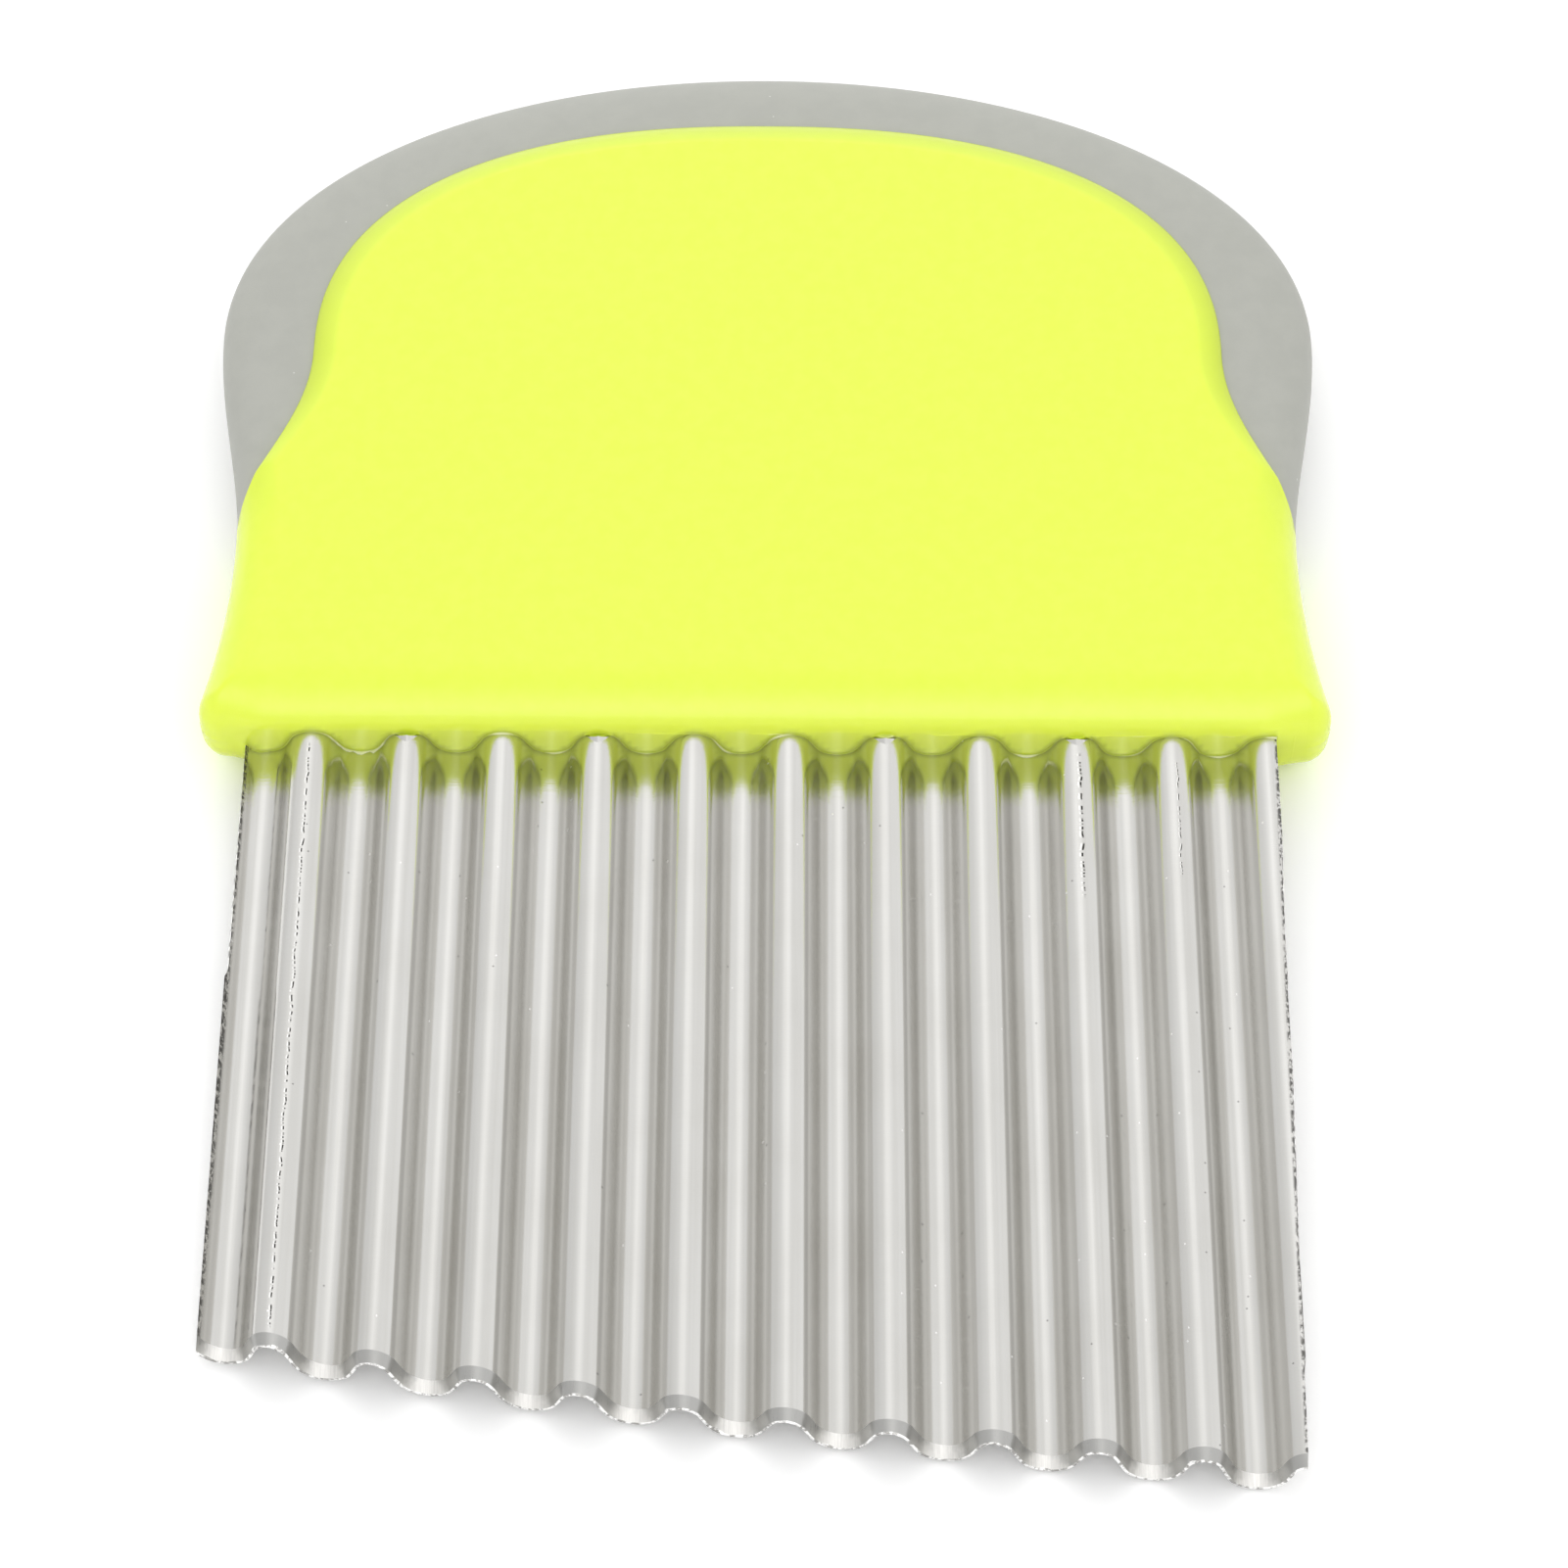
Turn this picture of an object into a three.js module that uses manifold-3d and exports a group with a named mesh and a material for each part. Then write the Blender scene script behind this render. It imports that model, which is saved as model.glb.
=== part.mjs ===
// Crinkle cutter: a corrugated steel blade moulded into a flat handle with a soft band over its arch.
// It lies on the flat back of its handle. X runs along the handle, Y from the cutting edge to the
// top of the arch, Z up through the thickness. Millimetres.
import * as THREE from 'three';
import { mergeVertices } from 'three/addons/utils/BufferGeometryUtils.js';
import Module from 'manifold-3d';

const wasm = await Module();
wasm.setup();

// Handle outline, seen from the front
const baseHalfWidth = 45.3;      // half the width across the flared base
const waistInset = 1.9;          // the waist is this much narrower than the base, each side
const archFlare = 0.55;          // the arch is this much wider than the base, each side
const handleHeight = 67.9;       // from the lip that the blade leaves to the top of the arch
const waistHeight = 18.1;        // height of the narrowest line above the lip
const archHeight = 39.6;         // height of the arch's widest line above the lip
const archSquareness = 2.04;     // exponent of the arch's curve, 2 being an ellipse
const baseCornerRadius = 2.0;

// Handle section
const handleThickness = 10.2;
const edgeRounding = 4.2;        // round along the lip and the flanks

// Soft band over the arch
const bandWidthTop = 7.3;        // width of the band at the top of the arch
const bandWidthSide = 8.15;      // width of the band at the arch's shoulders
const shoulderHeight = 36.0;     // height of the panel's shoulders above the lip
const panelSquareness = 2.35;    // exponent of the panel's curve
const bandTipHeight = 17.4;      // height at which the band has run out to a point
const tipOverhang = 0.35;        // the panel's edge crosses the waist this far outside it, at the tip
const tipLean = 0.5;             // the panel's edge leans in by this much over its pull at the tip
const tipPull = 5.7;             // length of the panel's edge that the tip steers
const shoulderPull = 7.5;        // length of the panel's edge that the shoulder steers
const bandRecess = 0.8;          // the band's faces lie this far below the panel's faces
const bandRounding = 4.0;        // round along the band's outer edge
const bandWall = 2.6;            // rubber outside the tongue that it grips
const tongueThickness = 4.4;     // rim of the handle inside the band
const keyHoleDiameter = 3.0;     // holes in the tongue that the rubber runs through
const keyHoleCount = 7;
const keyHoleSpread = 0.42;      // angle from the side to the first key hole, radians

// Corrugated blade
const sheetThickness = 0.5;
const wavePitch = 7.6;
const waveHeight = 3.4;          // crest to trough, measured at mid sheet
const crestRadius = 1.5;         // bend of the crests, measured at mid sheet
const troughRadius = 2.0;        // bend of the troughs, measured at mid sheet
const wallLeft = 3.85;           // plastic beside the blade's left edge, at the lip
const wallRight = 4.65;          // plastic beside the blade's right edge, at the lip
const sideSkewLeft = 0.0045;     // the left edge runs out to the left by this share of its length
const sideSkewRight = 0.0145;    // the right edge runs in to the left by this share of its length
const firstCrest = 5.4;          // from the blade's left edge to its first crest
const bladeLengthLeft = 53.7;    // from the lip to the cutting edge, left end
const bladeLengthRight = 64.0;   // from the lip to the cutting edge, right end
const edgeBow = 1.05;            // the cutting edge swells this far beyond a straight line
const bevelWidth = 1.1;          // ground band along the cutting edge
const edgeThickness = 0.1;       // steel left at the cutting edge
const tangDepth = 14.0;          // blade inside the handle
const lockHoleDiameter = 3.0;    // holes in the tang that the handle's plastic runs through
const lockHoleDepth = 0.75;      // centre of a lock hole above the lip
const lockHoleCrests = [2, 4];   // whole crests with a lock hole, counted in from each end

// Fits and facets
const clearance = 0.3;           // gap left between neighbouring pieces
const bendSteps = 6;
const curveSteps = 6;
const archSteps = 44;
const roundSteps = 5;
const rodSides = 14;
const sharpestCorner = 0.3;      // plan radius kept where a rounding draws a corner in
const leastFlank = 0.3;          // straight side kept above and below mid thickness by a rounding

// Sizes that follow
const waistHalfWidth = baseHalfWidth - waistInset;
const archHalfWidth = baseHalfWidth + archFlare;
const lipY = -(handleHeight - bladeLengthRight) / 2;   // centres the whole tool on Y = 0
const midZ = handleThickness / 2;
const bladeLeft = -baseHalfWidth + wallLeft;
const bladeRight = baseHalfWidth - wallRight;
const tangEndY = lipY + tangDepth;
const panelHalfWidth = archHalfWidth - bandWidthSide;
const panelHeight = handleHeight - bandWidthTop;
const outerRounding = Math.min(edgeRounding, handleThickness / 2 - leastFlank);
const flareAngle = Math.atan(2 * waistInset / (waistHeight - baseCornerRadius));
const bandThickness = handleThickness - 2 * bandRecess;
const bandOuterRounding = Math.min(bandRounding, bandThickness / 2 - leastFlank);
const throughCut = 2 * handleThickness;   // length of a cutter that passes right through

// A closed mesh as a solid that can be joined and cut.
function solid(geometry) {
  geometry.deleteAttribute('normal');
  geometry.deleteAttribute('uv');
  const merged = mergeVertices(geometry, 1e-4);
  return new wasm.Manifold(new wasm.Mesh({
    numProp: 3,
    vertProperties: new Float32Array(merged.attributes.position.array),
    triVerts: new Uint32Array(merged.index.array),
  }));
}

// A finished solid as a named piece with its own surface.
function piece(name, body, surface) {
  const mesh = body.getMesh();
  const geometry = new THREE.BufferGeometry();
  geometry.setAttribute('position', new THREE.BufferAttribute(mesh.vertProperties, 3));
  geometry.setIndex(new THREE.BufferAttribute(mesh.triVerts, 1));
  geometry.computeVertexNormals();
  const result = new THREE.Mesh(geometry, new THREE.MeshStandardMaterial(surface));
  result.name = name;
  return result;
}

// An outline as a square-edged slab about the handle's middle plane. Its zero height is the lip.
function slab(shape, thickness) {
  const geometry = new THREE.ExtrudeGeometry(shape, {
    depth: thickness,
    curveSegments: curveSteps,
    bevelEnabled: false,
  });
  geometry.translate(0, lipY, midZ - thickness / 2);
  return solid(geometry);
}

// Points round an outline, each far enough from the one before it and the last from the first.
function ringPoints(shape) {
  const least = 1e-3;
  const points = shape.getPoints(curveSteps);
  return points.filter((point, index) => point.distanceTo(points.at(index - 1)) > least);
}

// A slab with round edges: rings of one outline, drawn in step by step towards both faces.
function roundedSlab(outline, thickness, rounding) {
  const levels = [];
  for (let step = 0; step <= roundSteps; step += 1) {
    const angle = Math.PI / 2 * step / roundSteps;
    const inset = rounding * (1 - Math.cos(angle));
    const height = thickness / 2 - rounding + rounding * Math.sin(angle);
    levels.push({ inset, height });
    levels.unshift({ inset, height: -height });
  }
  const positions = [];
  const indices = [];
  const rings = levels.map(({ inset }) => ringPoints(outline(inset)));
  const count = rings[0].length;
  rings.forEach((ring, level) => {
    ring.forEach((point) => positions.push(point.x, point.y + lipY, midZ + levels[level].height));
  });
  for (let level = 0; level + 1 < levels.length; level += 1) {
    for (let index = 0; index < count; index += 1) {
      const here = level * count + index;
      const next = level * count + (index + 1) % count;
      indices.push(here, next, next + count, here, next + count, here + count);
    }
  }
  const top = (levels.length - 1) * count;
  for (const [a, b, c] of THREE.ShapeUtils.triangulateShape(rings[0], [])) {
    indices.push(a, c, b, top + a, top + b, top + c);
  }
  const geometry = new THREE.BufferGeometry();
  geometry.setAttribute('position', new THREE.Float32BufferAttribute(positions, 3));
  geometry.setIndex(indices);
  return solid(geometry);
}

// An upright round rod through the whole handle.
function rod(x, y, diameter) {
  const geometry = new THREE.CylinderGeometry(diameter / 2, diameter / 2, throughCut, rodSides);
  geometry.rotateX(Math.PI / 2);
  geometry.translate(x, y, midZ);
  return solid(geometry);
}

// Continues an outline over an arch, from its right side to its left side.
function drawArch(shape, halfWidth, rise, springHeight, squareness) {
  for (let step = 1; step <= archSteps; step += 1) {
    const angle = Math.PI * step / archSteps;
    const cosine = Math.cos(angle);
    const across = Math.sign(cosine) * Math.abs(cosine) ** (2 / squareness);
    const up = Math.max(0, Math.sin(angle)) ** (2 / squareness);
    shape.lineTo(halfWidth * across, springHeight + rise * up);
  }
}

// Continues an outline from the right of the waist, over the arch, to the left of the waist.
function drawUpperHandle(shape, inset) {
  const waist = waistHalfWidth - inset;
  const arch = archHalfWidth - inset;
  const pull = (archHeight - waistHeight) / 3;
  shape.bezierCurveTo(waist, waistHeight + pull, arch, archHeight - pull, arch, archHeight);
  drawArch(shape, arch, handleHeight - archHeight - inset, archHeight, archSquareness);
  shape.bezierCurveTo(-arch, archHeight - pull, -waist, waistHeight + pull, -waist, waistHeight);
}

// The whole handle, drawn in by an inset: flared base with round corners, waist and arch.
function handleShape(inset) {
  const shape = new THREE.Shape();
  const radius = Math.max(baseCornerRadius - inset, sharpestCorner);
  const waist = waistHalfWidth - inset;
  const cornerX = baseHalfWidth - inset - radius;
  const cornerY = inset + radius;
  const flankX = cornerX + radius * Math.cos(flareAngle);
  const flankY = cornerY + radius * Math.sin(flareAngle);
  const flareY = flankY + (flankX - waist) / Math.tan(flareAngle);
  shape.moveTo(-cornerX, inset);
  shape.lineTo(cornerX, inset);
  shape.absarc(cornerX, cornerY, radius, -Math.PI / 2, flareAngle);
  shape.quadraticCurveTo(waist, flareY, waist, waistHeight);
  drawUpperHandle(shape, inset);
  shape.quadraticCurveTo(-waist, flareY, -flankX, flankY);
  shape.absarc(-cornerX, cornerY, radius, Math.PI - flareAngle, Math.PI * 1.5);
  return shape;
}

// The handle above its waist, drawn in by an inset, with a straight foot.
function upperHandleShape(inset, footHeight) {
  const shape = new THREE.Shape();
  const waist = waistHalfWidth - inset;
  shape.moveTo(-waist, footHeight);
  shape.lineTo(waist, footHeight);
  shape.lineTo(waist, waistHeight);
  drawUpperHandle(shape, inset);
  return shape;
}

// The hard front panel: everything below the band, its flanks running out past the handle's sides
// under the band's tips.
function panelShape(growth) {
  const shape = new THREE.Shape();
  const outside = archHalfWidth + bandWidthSide;
  const side = panelHalfWidth + growth;
  const tipX = waistHalfWidth + tipOverhang + growth;
  const tipY = bandTipHeight - growth;
  const leanX = tipX - tipLean;
  const leanY = tipY + tipPull;
  const steerY = shoulderHeight - shoulderPull;
  const below = -baseCornerRadius;
  shape.moveTo(-outside, below);
  shape.lineTo(outside, below);
  shape.lineTo(outside, tipY);
  shape.lineTo(tipX, tipY);
  shape.bezierCurveTo(leanX, leanY, side, steerY, side, shoulderHeight);
  drawArch(shape, side, panelHeight + growth - shoulderHeight, shoulderHeight, panelSquareness);
  shape.bezierCurveTo(-side, steerY, -leanX, leanY, -tipX, tipY);
  shape.lineTo(-outside, tipY);
  return shape;
}

// The corrugation's mid line: round crests and troughs joined by straight flanks.
const halfPitch = wavePitch / 2;
const bothRadii = crestRadius + troughRadius;
const flankAngle = Math.asin(bothRadii / Math.hypot(halfPitch, bothRadii - waveHeight))
  - Math.atan2(bothRadii - waveHeight, halfPitch);
const crestReach = crestRadius * Math.sin(flankAngle);
const troughReach = troughRadius * Math.sin(flankAngle);
const crestOne = bladeLeft + firstCrest;
const sheetMargin = halfPitch;   // sheet drawn beyond the side edges before they are sheared

// Height and lean of the mid line at a place across the blade.
function waveAt(x) {
  const turns = (x - crestOne) / wavePitch;
  const fromCrest = (turns - Math.round(turns)) * wavePitch;
  const distance = Math.abs(fromCrest);
  const fromTrough = halfPitch - distance;
  let height = waveHeight / 2 - crestRadius * (1 - Math.cos(flankAngle))
    - (distance - crestReach) * Math.tan(flankAngle);
  let lean = flankAngle;
  if (distance < crestReach) {
    height = waveHeight / 2 - crestRadius + Math.sqrt(crestRadius ** 2 - distance ** 2);
    lean = Math.asin(distance / crestRadius);
  } else if (fromTrough < troughReach) {
    height = -waveHeight / 2 + troughRadius - Math.sqrt(troughRadius ** 2 - fromTrough ** 2);
    lean = Math.asin(fromTrough / troughRadius);
  }
  return { height, lean: lean * Math.sign(fromCrest) };
}

// Places across the blade where its section gets a point: round every bend, and at both ends.
function waveStations(left, right) {
  const closest = 0.12;
  const stations = [left];
  const firstBend = Math.floor((left - crestOne) / halfPitch);
  const lastBend = Math.ceil((right - crestOne) / halfPitch);
  for (let bend = firstBend; bend <= lastBend; bend += 1) {
    const radius = bend % 2 === 0 ? crestRadius : troughRadius;
    for (let step = 0; step <= bendSteps; step += 1) {
      const angle = flankAngle * (2 * step / bendSteps - 1);
      const x = crestOne + bend * halfPitch + radius * Math.sin(angle);
      if (x > left + closest && x < right - closest) stations.push(x);
    }
  }
  stations.push(right);
  return stations;
}

// A corrugated sheet closed all round. Each row has a function for its place along Y, and the
// distances from mid sheet to its front and back faces.
function corrugatedSheet(left, right, rows) {
  const stations = waveStations(left, right);
  const positions = [];
  const indices = [];
  const at = (station, row, face) => 2 * (station * rows.length + row) + face;
  const quad = (a, b, c, d) => indices.push(a, b, c, a, c, d);
  for (const x of stations) {
    const { height, lean } = waveAt(x);
    for (const row of rows) {
      for (const offset of [row.front, -row.back]) {
        const px = x + offset * Math.sin(lean);
        positions.push(px, row.y(px), midZ + height + offset * Math.cos(lean));
      }
    }
  }
  const lastStation = stations.length - 1;
  const lastRow = rows.length - 1;
  for (let s = 0; s < lastStation; s += 1) {
    for (let r = 0; r < lastRow; r += 1) {
      quad(at(s, r, 0), at(s, r + 1, 0), at(s + 1, r + 1, 0), at(s + 1, r, 0));
      quad(at(s, r, 1), at(s + 1, r, 1), at(s + 1, r + 1, 1), at(s, r + 1, 1));
    }
    quad(at(s, 0, 0), at(s + 1, 0, 0), at(s + 1, 0, 1), at(s, 0, 1));
    quad(at(s, lastRow, 0), at(s, lastRow, 1), at(s + 1, lastRow, 1), at(s + 1, lastRow, 0));
  }
  for (let r = 0; r < lastRow; r += 1) {
    quad(at(0, r, 0), at(0, r, 1), at(0, r + 1, 1), at(0, r + 1, 0));
    quad(at(lastStation, r, 0), at(lastStation, r + 1, 0), at(lastStation, r + 1, 1), at(lastStation, r, 1));
  }
  const geometry = new THREE.BufferGeometry();
  geometry.setAttribute('position', new THREE.Float32BufferAttribute(positions, 3));
  geometry.setIndex(indices);
  return solid(geometry);
}

// The slanted, slightly bowed cutting edge.
function cuttingEdgeY(x) {
  const share = (x - bladeLeft) / (bladeRight - bladeLeft);
  const straight = bladeLengthLeft + (bladeLengthRight - bladeLengthLeft) * share;
  return lipY - straight - 4 * edgeBow * share * (1 - share);
}

// The blade seen from the front, between its two side edges, which are sheared a little askew.
function bladePlan(growth) {
  const shape = new THREE.Shape();
  const top = tangDepth + growth;
  const bottom = -2 * bladeLengthRight;
  const leftAt = (y) => bladeLeft + sideSkewLeft * y - growth;
  const rightAt = (y) => bladeRight + sideSkewRight * y + growth;
  shape.moveTo(leftAt(bottom), bottom);
  shape.lineTo(rightAt(bottom), bottom);
  shape.lineTo(rightAt(top), top);
  shape.lineTo(leftAt(top), top);
  return slab(shape, throughCut);
}

// Places of the lock holes, on whole crests counted from the left end and from the right end.
const wholeCrests = 1 + Math.floor((bladeRight - halfPitch - crestOne) / wavePitch);
const lockHoleNumbers = [
  ...lockHoleCrests,
  ...lockHoleCrests.map((number) => wholeCrests + 1 - number),
];

function lockRods(diameter) {
  const place = (number) => crestOne + (number - 1) * wavePitch;
  const rods = lockHoleNumbers.map((number) => rod(place(number), lipY + lockHoleDepth, diameter));
  return rods.reduce((all, next) => all.add(next));
}

// Rods at the key holes, spread round the middle of the tongue that the band covers.
function keyRods(diameter) {
  const halfWidth = (panelHalfWidth + archHalfWidth - bandWall) / 2;
  const rise = (panelHeight + handleHeight - bandWall) / 2 - archHeight;
  const rods = [];
  for (let hole = 0; hole < keyHoleCount; hole += 1) {
    const angle = keyHoleSpread + (Math.PI - 2 * keyHoleSpread) * hole / (keyHoleCount - 1);
    rods.push(rod(halfWidth * Math.cos(angle), lipY + archHeight + rise * Math.sin(angle), diameter));
  }
  return rods.reduce((all, next) => all.add(next));
}

// Blade: one corrugated steel sheet, ground along its edge, with the tang's lock holes.
function wavyBlade() {
  const half = sheetThickness / 2;
  const sheet = corrugatedSheet(bladeLeft - sheetMargin, bladeRight + sheetMargin, [
    { y: () => tangEndY, front: half, back: half },
    { y: (x) => cuttingEdgeY(x) + bevelWidth, front: half, back: half },
    { y: cuttingEdgeY, front: edgeThickness - half, back: half },
  ]);
  return sheet.intersect(bladePlan(0)).subtract(lockRods(lockHoleDiameter));
}

// Space that the tang takes in the handle, left whole where plastic runs through the lock holes.
function tangSlot() {
  const half = sheetThickness / 2 + clearance;
  const slot = corrugatedSheet(bladeLeft - sheetMargin, bladeRight + sheetMargin, [
    { y: () => tangEndY + clearance, front: half, back: half },
    { y: () => lipY - baseCornerRadius, front: half, back: half },
  ]);
  return slot.intersect(bladePlan(clearance)).subtract(lockRods(lockHoleDiameter - 2 * clearance));
}

// Handle: the hard panel and its base, with a tongue round the arch, moulded over the tang.
function handleBody() {
  const panel = roundedSlab(handleShape, handleThickness, outerRounding)
    .intersect(slab(panelShape(0), throughCut));
  const tongue = slab(upperHandleShape(bandWall, waistHeight), tongueThickness)
    .subtract(keyRods(keyHoleDiameter));
  return panel.add(tongue).subtract(tangSlot());
}

// Soft band: rubber moulded round the tongue, front, edge and back, and through its key holes.
function softGrip() {
  const foot = bandTipHeight - bandWidthSide;
  const tongueSpace = slab(upperHandleShape(bandWall - clearance, waistHeight - clearance),
    tongueThickness + 2 * clearance).subtract(keyRods(keyHoleDiameter - 2 * clearance));
  const outline = (inset) => upperHandleShape(inset, foot + inset);
  return roundedSlab(outline, bandThickness, bandOuterRounding)
    .subtract(slab(panelShape(clearance), throughCut))
    .subtract(tongueSpace);
}

const crinkleCutter = new THREE.Group();
crinkleCutter.add(
  piece('wavy_blade', wavyBlade(), { color: '#b9b8b4', roughness: 0.28, metalness: 1 }),
  piece('handle_body', handleBody(), { color: '#d8ec3c', roughness: 0.38, metalness: 0 }),
  piece('soft_grip', softGrip(), { color: '#b4b5ad', roughness: 0.75, metalness: 0 }),
);

export default crinkleCutter;
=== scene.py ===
"""Crinkle cutter, in the order it is made: steel blade, moulded handle, soft band, then the studio."""
import math

import bpy
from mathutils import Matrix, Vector, noise


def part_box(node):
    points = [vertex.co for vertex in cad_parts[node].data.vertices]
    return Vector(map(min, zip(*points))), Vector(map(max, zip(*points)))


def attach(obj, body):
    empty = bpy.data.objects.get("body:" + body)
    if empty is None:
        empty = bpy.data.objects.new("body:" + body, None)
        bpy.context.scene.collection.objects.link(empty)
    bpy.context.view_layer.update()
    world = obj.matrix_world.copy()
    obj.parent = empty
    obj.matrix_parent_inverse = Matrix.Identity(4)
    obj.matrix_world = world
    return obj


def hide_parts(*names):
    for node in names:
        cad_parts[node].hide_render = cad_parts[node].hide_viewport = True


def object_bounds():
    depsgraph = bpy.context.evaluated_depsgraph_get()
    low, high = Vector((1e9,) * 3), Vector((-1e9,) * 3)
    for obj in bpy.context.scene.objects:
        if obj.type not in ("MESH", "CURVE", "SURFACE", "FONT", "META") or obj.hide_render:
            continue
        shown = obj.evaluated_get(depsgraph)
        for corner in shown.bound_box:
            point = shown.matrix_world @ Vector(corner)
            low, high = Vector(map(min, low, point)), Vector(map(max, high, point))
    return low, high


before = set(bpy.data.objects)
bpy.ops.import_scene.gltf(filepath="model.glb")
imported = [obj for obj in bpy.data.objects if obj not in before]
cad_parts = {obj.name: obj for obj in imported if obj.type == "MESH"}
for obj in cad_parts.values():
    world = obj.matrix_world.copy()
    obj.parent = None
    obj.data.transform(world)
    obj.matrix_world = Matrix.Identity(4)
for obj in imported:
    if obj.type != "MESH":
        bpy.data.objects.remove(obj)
cad_low, cad_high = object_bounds()

# Wavy blade
# One stainless sheet, pressed into round waves, sheared at its sides and ground along its cutting
# edge. Its upper end is the tang, which the handle is moulded over.
mm = 0.001
handle_low, handle_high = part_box("handle_body")
blade_low, blade_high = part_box("wavy_blade")
lip_y = handle_low.y
mid_z = (handle_low.z + handle_high.z) / 2
sheet_thickness = 0.5 * mm
wave_pitch = 7.6 * mm
wave_height = 3.4 * mm
crest_radius = 1.5 * mm
trough_radius = 2.0 * mm
crest_one_x = -36.05 * mm
blade_left_x = -41.45 * mm
blade_right_x = 40.65 * mm
side_skew_left = 0.0045
side_skew_right = 0.0145
edge_length_left = 53.7 * mm
edge_length_right = 64.0 * mm
edge_bow = 1.05 * mm
bevel_width = 1.1 * mm
edge_thickness = 0.1 * mm
end_retreat = 0.35 * mm
lock_hole_radius = 1.5 * mm
lock_hole_depth = 0.75 * mm
lock_hole_crests = (2, 4, 7, 9)
lock_rim_width = 0.45 * mm
lock_rim_rise = 0.3 * mm
lock_rim_half_turn = math.radians(34)
lock_rim_steps = 24
lock_rim_root = 0.3 * mm
burr_fine_spacing = 0.35 * mm
burr_fine_depth = 0.035 * mm
burr_coarse_spacing = 1.6 * mm
burr_coarse_depth = 0.04 * mm
burr_blob_spacing = 0.9 * mm
press_depth = 0.012 * mm
side_rag_spacing = 0.7 * mm
side_rag_depth = 0.03 * mm
sliver_size = 0.00001 * mm
same_place = 0.001 * mm

half_pitch = wave_pitch / 2
both_radii = crest_radius + trough_radius
rise_gap = both_radii - wave_height
flank_angle = math.asin(both_radii / math.hypot(half_pitch, rise_gap)) - math.atan2(rise_gap, half_pitch)
crest_reach = crest_radius * math.sin(flank_angle)
trough_reach = trough_radius * math.sin(flank_angle)


def crest_x(number):
    """Where a crest's top runs, counted from 1 at the left."""
    return crest_one_x + (number - 1) * wave_pitch


def wave_z(x):
    """Height of the sheet's middle above mid thickness: round crests and troughs, straight flanks."""
    turns = (x - crest_one_x) / wave_pitch
    from_crest = abs(turns - round(turns)) * wave_pitch
    from_trough = half_pitch - from_crest
    if from_crest < crest_reach:
        return wave_height / 2 - crest_radius + math.sqrt(crest_radius**2 - from_crest**2)
    if from_trough < trough_reach:
        return trough_radius - wave_height / 2 - math.sqrt(trough_radius**2 - from_trough**2)
    drop = crest_radius * (1 - math.cos(flank_angle)) + (from_crest - crest_reach) * math.tan(flank_angle)
    return wave_height / 2 - drop


def wave_slope(x):
    """Slope of the sheet's section."""
    return (wave_z(x + 0.01 * mm) - wave_z(x - 0.01 * mm)) / (0.02 * mm)


def crest_share(x):
    """1 on top of a crest, 0 at mid height and below."""
    return max(0.0, wave_z(x) / (wave_height / 2))


def cutting_edge_y(x):
    """The slanted, slightly bowed line of the cutting edge. Towards its ends the crests are ground back."""
    share = (x - blade_left_x) / (blade_right_x - blade_left_x)
    straight = edge_length_left + (edge_length_right - edge_length_left) * share
    ground_back = end_retreat * (2 * share - 1)**2 * crest_share(x)
    return lip_y - straight - 4 * edge_bow * share * (1 - share) + ground_back


def wave_columns(left, right, bend_steps, flank_steps):
    """Places across the sheet where its section gets a point, close together round the bends."""
    places = []
    first_bend = math.floor((left - crest_one_x) / half_pitch)
    last_bend = math.ceil((right - crest_one_x) / half_pitch)
    for bend in range(first_bend, last_bend + 1):
        centre = crest_one_x + bend * half_pitch
        radius = trough_radius if bend % 2 else crest_radius
        for step in range(bend_steps + 1):
            turn = flank_angle * (2 * step / bend_steps - 1)
            places.append(centre + radius * math.sin(turn))
        flank = half_pitch - crest_reach - trough_reach
        for step in range(1, flank_steps):
            places.append(centre + radius * math.sin(flank_angle) + flank * step / flank_steps)
    return places


def only(piece):
    """Leaves this piece alone selected and active."""
    bpy.ops.object.select_all(action="DESELECT")
    piece.select_set(True)
    bpy.context.view_layer.objects.active = piece


def flat_grid(name, across, along):
    """A flat grid, made to be shaped, with its points in rows of across + 1."""
    bpy.ops.object.select_all(action="DESELECT")
    bpy.ops.mesh.primitive_grid_add(x_subdivisions=across, y_subdivisions=along, size=1)
    grid = bpy.context.object
    grid.name = name
    return grid


def apply_modifier(piece, kind, **settings):
    """Adds one modifier and makes its result the mesh."""
    only(piece)
    bpy.ops.object.modifier_add(type=kind)
    modifier = piece.modifiers[-1]
    for setting, value in settings.items():
        setattr(modifier, setting, value)
    bpy.ops.object.modifier_apply(modifier=modifier.name)


def cut(piece, tool, operation):
    """Cuts, joins or trims a piece by a tool, which is used up."""
    apply_modifier(piece, "BOOLEAN", operation=operation, object=tool, solver="EXACT")
    bpy.data.objects.remove(tool)


def clear_slivers(piece):
    """Takes out the faces without area that cuts leave behind."""
    only(piece)
    bpy.ops.object.mode_set(mode="EDIT")
    bpy.ops.mesh.select_all(action="SELECT")
    bpy.ops.mesh.dissolve_degenerate(threshold=sliver_size)
    bpy.ops.object.mode_set(mode="OBJECT")


def wavering(place, spacing, seed):
    """A smooth random value from -1 to 1 along a line, with bumps of about this spacing."""
    return noise.noise(Vector((place / spacing, seed, 0.0)))


def burr(x):
    """How far the ragged cutting edge falls short of its line."""
    fine = wavering(x, burr_fine_spacing, 3.7)
    coarse = wavering(x, burr_coarse_spacing, 9.1)
    return burr_fine_depth * (1 + fine) + burr_coarse_depth * (1 + coarse)


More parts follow.
